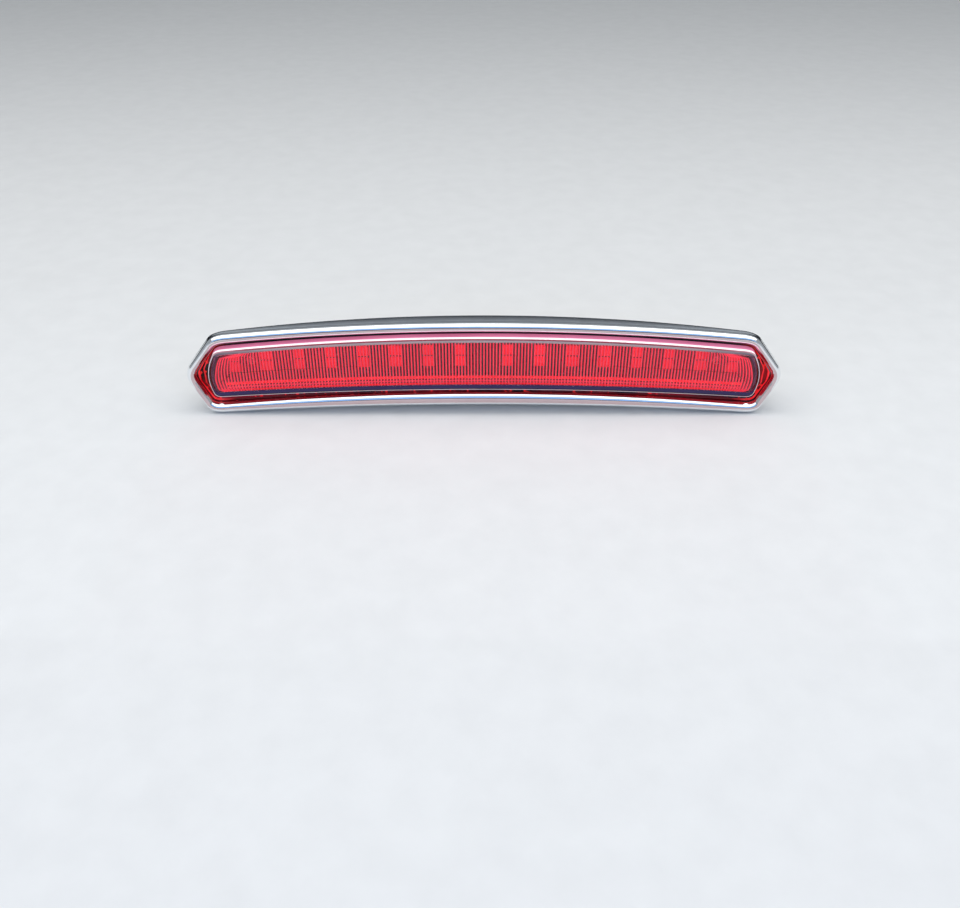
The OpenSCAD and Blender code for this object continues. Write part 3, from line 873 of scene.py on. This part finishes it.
def package(node, power):
    """Rings of one light source, from the board to the tip of its dome. The plan is a square of
    rounded corners, r = (|cos|^p + |sin|^p)^(-1/p), with one corner cut at 45 degrees."""
    low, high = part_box(node)
    x, z = axis_of(node)
    turns = 48
    half = 0.5 * (high.x - low.x) - 0.25 * MM
    body_top = LED_TOP - 0.7 * MM
    angle = np.linspace(0, 2 * math.pi, turns, endpoint=False)
    square = half * (np.abs(np.cos(angle)) ** power + np.abs(np.sin(angle)) ** power) ** (-1 / power)
    cut = np.cos(angle - math.pi / 4)
    square = np.where(cut > 0.5, np.minimum(square, 1.27 * half / np.maximum(cut, 0.5)), square)
    dome = 2.4 * MM
    turn = np.linspace(0, math.pi / 2, 8)
    radii = [square * 0, square, square, square - 0.12 * MM, square - 0.3 * MM]
    heights = [BOARD_FRONT, BOARD_FRONT, body_top - 0.3 * MM, body_top - 0.08 * MM, body_top]
    radii += [np.full(turns, dome * 1.06)] + [np.full(turns, dome * math.cos(t)) for t in turn]
    heights += [body_top] + [body_top + (LED_TOP - body_top) * math.sin(t) for t in turn]
    return turned(x, z, heights, radii, turns)


class LAMP_OT_sources(bpy.types.Operator):
    """The two rows of square red light sources, each with a cut corner and a low dome"""

    bl_idname = "lamp.sources"
    bl_label = "Light sources"

    def execute(self, context):
        sizes = context.scene.lamp_sources
        # Both finishes glow as painted light; the package's sides are painted dark as shade
        material = glowing("source_red", sizes.colour, sizes.glow, (0.15, 0.3))
        shaded = glowing("source_side_painted_shade", (0.12, 0.0, 0.01), 0.1, (0.3, 0.4))
        for node in sorted(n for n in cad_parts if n.startswith("led_")):
            grid = package(node, sizes.corner_power)
            # The first three steps, underside, sides and top edge, have the second material, painted shade
            slots = np.repeat([1, 1, 1] + [0] * (len(grid) - 4), grid.shape[1])
            piece = make_piece(node + "_package", [(grid, False, True, slots)], [material, shaded], 35)
            fit(piece, LAMP, "led_epoxy", node)
        return {"FINISHED"}


# ---- studs and nuts ----


# Radii of the M5 stud's thread, shoulder, collar and head, and of the nut's bore, mouth and flange;
# NUT_HALF is half the nut's width over its flats
THREAD_R = 2.5 * MM
SHOULDER_R = 3 * MM
COLLAR_R = 3.5 * MM
HEAD_R = 6 * MM
NUT_BORE_R = 2.55 * MM
NUT_MOUTH_R = 2.85 * MM
NUT_HALF = 4 * MM
NUT_FLANGE_R = 5.9 * MM


def thread(heights, radius, sizes, turns):
    """Radii of a screw thread: radius less a triangle wave of height over pitch plus turn."""
    phase = heights[:, None] / sizes.thread_pitch + np.arange(turns) / turns
    return radius - sizes.thread_depth * np.abs(2 * (phase % 1) - 1)


class LAMP_OT_fixings(bpy.types.Operator):
    """Two studs with a rolled thread and their two flange nuts"""

    bl_idname = "lamp.fixings"
    bl_label = "Studs and nuts"

    def execute(self, context):
        sizes = context.scene.lamp_fixings
        colour = (0.72, 0.6, 0.3)
        plate = finish("yellow_zinc", colour, (0.22, 0.38), 700, 0.2, 0.00005, 0.25, Metallic=1.0)
        for side in ("left", "right"):
            self.stud(side, sizes, plate)
            self.nut(side, sizes, plate)
        return {"FINISHED"}

    def stud(self, side, sizes, plate):
        """One stud: rings of radii from the tip's middle up the thread and shoulder to the head."""
        node = "stud_" + side
        x, z = axis_of(node)
        low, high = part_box(node)
        turns = 48
        tip = -high.y
        step = sizes.thread_pitch / 8
        run = np.arange(tip + 0.6 * MM, -1.3 * MM, step)
        top = -low.y
        heights = [tip, tip, tip + 0.3 * MM, *run, -1.0 * MM, -1.0 * MM, -0.8 * MM, 3 * MM, 3 * MM]
        heights += [top - 1.5 * MM, top - 1.5 * MM, top - 0.2 * MM, top, top]
        radii = [0, 1.5 * MM, 1.9 * MM, *thread(run, THREAD_R, sizes, turns), 2.3 * MM]
        radii += [SHOULDER_R - 0.2 * MM, SHOULDER_R, SHOULDER_R, COLLAR_R, COLLAR_R]
        radii += [HEAD_R, HEAD_R, HEAD_R - 0.2 * MM, 0]
        radii = np.stack([np.broadcast_to(r, turns) for r in radii])
        grid = turned(x, z, heights, radii, turns)
        piece = make_piece(node + "_rolled", [(grid, False, True, 0)], [plate], 30)
        fit(piece, LAMP, "yellow_zinc", node)

    def nut(self, side, sizes, plate):
        """One flange nut: rings round its toothed seat, its hexagon and back through its bore."""
        node = "nut_" + side
        x, z = axis_of(node)
        low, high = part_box(node)
        turns = 96
        angle = np.arange(turns) * 2 * math.pi / turns
        hexagon = NUT_HALF / np.cos((angle + math.pi / 6) % (math.pi / 3) - math.pi / 6)
        teeth = 0.12 * MM * (0.5 + 0.5 * np.sin(sizes.serrations * angle))
        seat, end = -low.y, -high.y
        flange, mouth = NUT_FLANGE_R, NUT_MOUTH_R
        run = np.arange(end + 0.4 * MM, seat - 0.4 * MM, sizes.thread_pitch / 6)
        bore = NUT_BORE_R + 0.3 * MM - thread(run, 0.3 * MM, sizes, turns)
        rings = [
            (seat, np.full(turns, mouth)),
            (seat, np.full(turns, 4.2 * MM)),
            (seat - teeth, np.full(turns, 4.4 * MM)),
            (seat - teeth, np.full(turns, flange - 0.15 * MM)),
            (seat - 0.25 * MM, np.full(turns, flange)),
            (seat - 0.7 * MM, np.full(turns, flange)),
            (seat - 0.9 * MM, np.full(turns, flange - 0.2 * MM)),
            (seat - 1.5 * MM, np.maximum(hexagon, 4.4 * MM)),
            (seat - 1.6 * MM, hexagon),
            (end + 0.5 * MM, hexagon),
            (end + 0.2 * MM, np.minimum(hexagon, 4.3 * MM)),
            (end, np.minimum(hexagon, 3.95 * MM)),
            (end, np.full(turns, mouth)),
        ]
        heights = [np.broadcast_to(h, turns) for h, r in rings] + [np.full(turns, h) for h in run]
        radii = np.array([r for h, r in rings] + list(bore))
        plan = np.stack([x + radii * np.cos(angle), z + radii * np.sin(angle)], -1)
        grid = at_height(plan, np.array(heights))
        piece = make_piece(node + "_hex", [(grid, True, True, 0)], [plate], 30)
        fit(piece, side + "_nut", "yellow_zinc", node)


# ---- finishes of the parts whose CAD shape stays ----


def tray_violet():
    """Violet-black moulding. Its rim, close behind the lens, is painted bluer and lighter, painted light
    that stands in for the light it catches, and pinkish grey along its top.
    """
    material, tree, shader, coordinates = new_material("tray_violet_black")
    grain = noise(tree, coordinates, 800, 4.0)
    floor = ramp(tree, grain, [(0.3, (0.05, 0.0, 0.035)), (0.7, (0.07, 0.001, 0.05))])
    # Painted light: the rim lighter and bluer than the floor
    rim = ramp(tree, grain, [(0.3, (0.1, 0.1, 0.35)), (0.7, (0.15, 0.15, 0.45))])
    lit_upper_rim = blend(tree, run_along(tree, coordinates, "Z", 0.004, 0.009), rim, (0.3, 0.22, 0.26))
    front = run_along(tree, coordinates, "Y", -0.0175, -0.0195)
    tree.links.new(blend(tree, front, floor, lit_upper_rim), shader.inputs["Base Color"])
    gloss(tree, shader, grain, 0.35, 0.5)
    return material


def mask_board():
    """White solder mask with a faint weave of the board under it."""
    return finish("white_mask", (0.72, 0.73, 0.7), (0.3, 0.42), 900, 0.15, 0.00003, 0.04)


CAD_FINISHES = {
    "bezel_tape": lambda: finish("tape_foam", (0.03, 0.03, 0.032), (0.75, 0.95), 900, 0.5, 0.0002),
    "lens_seal": lambda: finish("sealing_bead", (0.02, 0.02, 0.022), (0.4, 0.6), 200, 0.2),
    "reflector_tray": tray_violet,
    "circuit_board": mask_board,
    "board_screws": lambda: finish(
        "screw_zinc", (0.75, 0.74, 0.74), (0.2, 0.35), 600, 0.1, 0.00005, Metallic=1.0
    ),
    "resistors": lambda: finish("chip_body", (0.03, 0.03, 0.035), (0.3, 0.45), 900, 0.1),
    "diode": lambda: finish("diode_body", (0.025, 0.025, 0.027), (0.35, 0.5), 900, 0.1),
    "capacitor": lambda: finish("ceramic_tan", (0.42, 0.3, 0.17), (0.3, 0.45), 900, 0.1),
    "housing": lambda: finish(
        "housing_black", (0.022, 0.022, 0.024), (0.42, 0.6), 1400, 0.35, 0.00012, 0.2
    ),
    "foam_gasket": lambda: finish(
        "gasket_foam", (0.045, 0.045, 0.048), (0.85, 1.0), 1100, 0.8, 0.0004, 0.3
    ),
    "vent_plug": lambda: finish("vent_grey", (0.12, 0.12, 0.13), (0.5, 0.65), 900, 0.3),
    "connector_socket": lambda: finish("socket_black", (0.03, 0.03, 0.034), (0.4, 0.55), 1200, 0.25),
    "connector_seal": lambda: finish("silicone_orange", (0.6, 0.16, 0.03), (0.35, 0.5), 500, 0.1),
    "terminal_live": lambda: finish(
        "tinned_blade", (0.78, 0.72, 0.55), (0.18, 0.3), 800, 0.1, Metallic=1.0
    ),
}
SHARED_FINISHES = {"terminal_ground": "terminal_live"}


class LAMP_OT_finishes(bpy.types.Operator):
    """Gives each part whose shape comes from the frame its own finish"""

    bl_idname = "lamp.finishes"
    bl_label = "Finishes"

    def execute(self, context):
        made = {node: make() for node, make in CAD_FINISHES.items()}
        for node, other in SHARED_FINISHES.items():
            made[node] = made[other]
        for node, material in made.items():
            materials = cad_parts[node].data.materials
            materials.clear()
            materials.append(material)
        return {"FINISHED"}


# ---- stage ----


def paint(name, colour, roughness):
    """Even paint of the floor and the cards."""
    return finish(name, colour, (roughness, roughness + 0.1), 40, mottle=0.02)


def sheet(name, centre, across, up, material):
    """Flat rectangle on two half-side vectors, as part of the stage."""
    centre, across, up = (np.array(v, float) for v in (centre, across, up))
    corners = [centre - across - up, centre + across - up, centre + across + up, centre - across + up]
    mesh = bpy.data.meshes.new(name)
    mesh.from_pydata(np.array(corners).tolist(), [], [[0, 1, 2, 3]])
    mesh.materials.append(material)
    piece = bpy.data.objects.new(name, mesh)
    bpy.context.scene.collection.objects.link(piece)
    return piece


def softbox(name, place, target, size, power, colour=(1, 1, 1)):
    """Rectangular area light that faces a point."""
    lamp = bpy.data.lights.new(name, "AREA")
    lamp.shape = "RECTANGLE"
    lamp.size, lamp.size_y = size
    lamp.energy = power
    lamp.color = colour
    piece = bpy.data.objects.new(name, lamp)
    piece.location = place
    piece.rotation_euler = (Vector(target) - Vector(place)).to_track_quat("-Z", "Y").to_euler()
    bpy.context.scene.collection.objects.link(piece)
    return piece


def cards(ground):
    """What the chrome reflects: a white sky with blue under it, a dark horizon, a pinkish near ground
    and a dark back that fades upward. Only reflections can see these cards."""
    level = ground + 0.5 * MM
    dusk = paint("dusk_paint", (0.09, 0.05, 0.06), 0.8)
    pinkish = paint("low_paint", (0.5, 0.38, 0.38), 0.8)
    back = two_tone("back_fade", (0.01, 0.012, 0.015), (0.3, 0.31, 0.31), 0.135, 0.235)
    white = glowing("sky_white", (1.0, 1.0, 1.0), 0.9, (0.5, 0.6))
    blue = glowing("sky_blue", (0.3, 0.52, 0.86), 0.75, (0.5, 0.6))
    made = [
        sheet("back_flag", (0, 0.2, 0.12), (0.7, 0, 0), (0, 0, 0.16), back),
        sheet("sky_card", (0, -0.9, 1.0), (1.6, 0, 0), (0, 0.64, 0), white),
        sheet("blue_card", (0, -1.97, 0.68), (1.6, 0, 0), (0, 0, 0.6), blue),
        sheet("low_flag", (0, -0.125, level), (0.195, 0, 0), (0, 0.095, 0), pinkish),
        sheet("horizon_flag", (0, -0.38, level), (0.4, 0, 0), (0, 0.16, 0), dusk),
        sheet("horizon_card", (0, -0.54, 0.0), (0.4, 0, 0), (0, 0, 0.037), dusk),
    ]
    for card in made:
        card.visible_camera = card.visible_diffuse = card.visible_shadow = False
        card.visible_transmission = False


class LAMP_OT_stage(bpy.types.Operator):
    """Pale floor, soft lights, reflection cards and the camera"""

    bl_idname = "lamp.stage"
    bl_label = "Stage"

    def execute(self, context):
        ground = CAD_BOX[0].z
        floor = paint("floor_paint", (0.72, 0.72, 0.71), 0.6)
        sheet("floor", (0, 0, ground), (4, 0, 0), (0, 4, 0), floor)
        cards(ground)
        target = (0, -LENS_FACE, 0)
        softbox("overhead", (0, -0.25, 1.1), target, (3.2, 1.6), 13, (1.0, 0.99, 0.97))
        softbox("crest_strip", (0, -0.1, 1.0), target, (3.0, 0.3), 8.5)
        fill = softbox("blue_strip", (0, -1.3, 0.68), target, (3.2, 0.8), 7.0, (0.28, 0.52, 1.0))
        fill.visible_glossy = False
        world = bpy.data.worlds.new("studio")
        world.use_nodes = True
        background = world.node_tree.nodes["Background"]
        background.inputs["Color"].default_value = (0.8, 0.85, 0.9, 1)
        background.inputs["Strength"].default_value = 0.42
        context.scene.world = world
        context.scene.view_settings.view_transform = "Standard"
        self.camera(context)
        return {"FINISHED"}

    def camera(self, context):
        """Camera above the lens's normal, with the lamp held a little over the middle of the view."""
        distance, above, drop = 0.609, math.radians(30), math.radians(5.14)
        data = bpy.data.cameras.new("view")
        data.sensor_width, data.lens = 36, 37.5
        data.clip_start = 0.01
        view = bpy.data.objects.new("view", data)
        centre = Vector((-0.0024, -LENS_FACE, 0))
        view.location = centre + distance * Vector((0, -math.cos(above), math.sin(above)))
        view.rotation_euler = (math.pi / 2 - above - drop, 0, 0)
        context.scene.collection.objects.link(view)
        context.scene.camera = view


# ---- panel and registration ----

GROUPS = {
    "lamp_bezel": BezelSizes,
    "lamp_lens": LensSizes,
    "lamp_optic": OpticSizes,
    "lamp_sources": SourceSizes,
    "lamp_fixings": FixingSizes,
}
OPERATORS = (
    LAMP_OT_bezel,
    LAMP_OT_lens,
    LAMP_OT_optic,
    LAMP_OT_sources,
    LAMP_OT_fixings,
    LAMP_OT_finishes,
    LAMP_OT_stage,
)


class LAMP_PT_panel(bpy.types.Panel):
    """Buttons and sizes of the lamp"""

    bl_idname = "LAMP_PT_panel"
    bl_label = "Third Brake Lamp"
    bl_space_type = "VIEW_3D"
    bl_region_type = "UI"
    bl_category = "Brake Lamp"

    def draw(self, context):
        for operator in OPERATORS:
            self.layout.operator(operator.bl_idname)
        for name, group in GROUPS.items():
            box = self.layout.box()
            for size in group.__annotations__:
                box.prop(getattr(context.scene, name), size)


def register():
    for group in (*GROUPS.values(), *OPERATORS, LAMP_PT_panel):
        bpy.utils.register_class(group)
    for name, group in GROUPS.items():
        setattr(bpy.types.Scene, name, PointerProperty(type=group))


def unregister():
    for name in GROUPS:
        delattr(bpy.types.Scene, name)
    for group in (LAMP_PT_panel, *OPERATORS, *GROUPS.values()):
        bpy.utils.unregister_class(group)


def main():
    register()
    for operator in OPERATORS:
        module, name = operator.bl_idname.split(".")
        getattr(getattr(bpy.ops, module), name)()


if __name__ == "__main__":
    main()
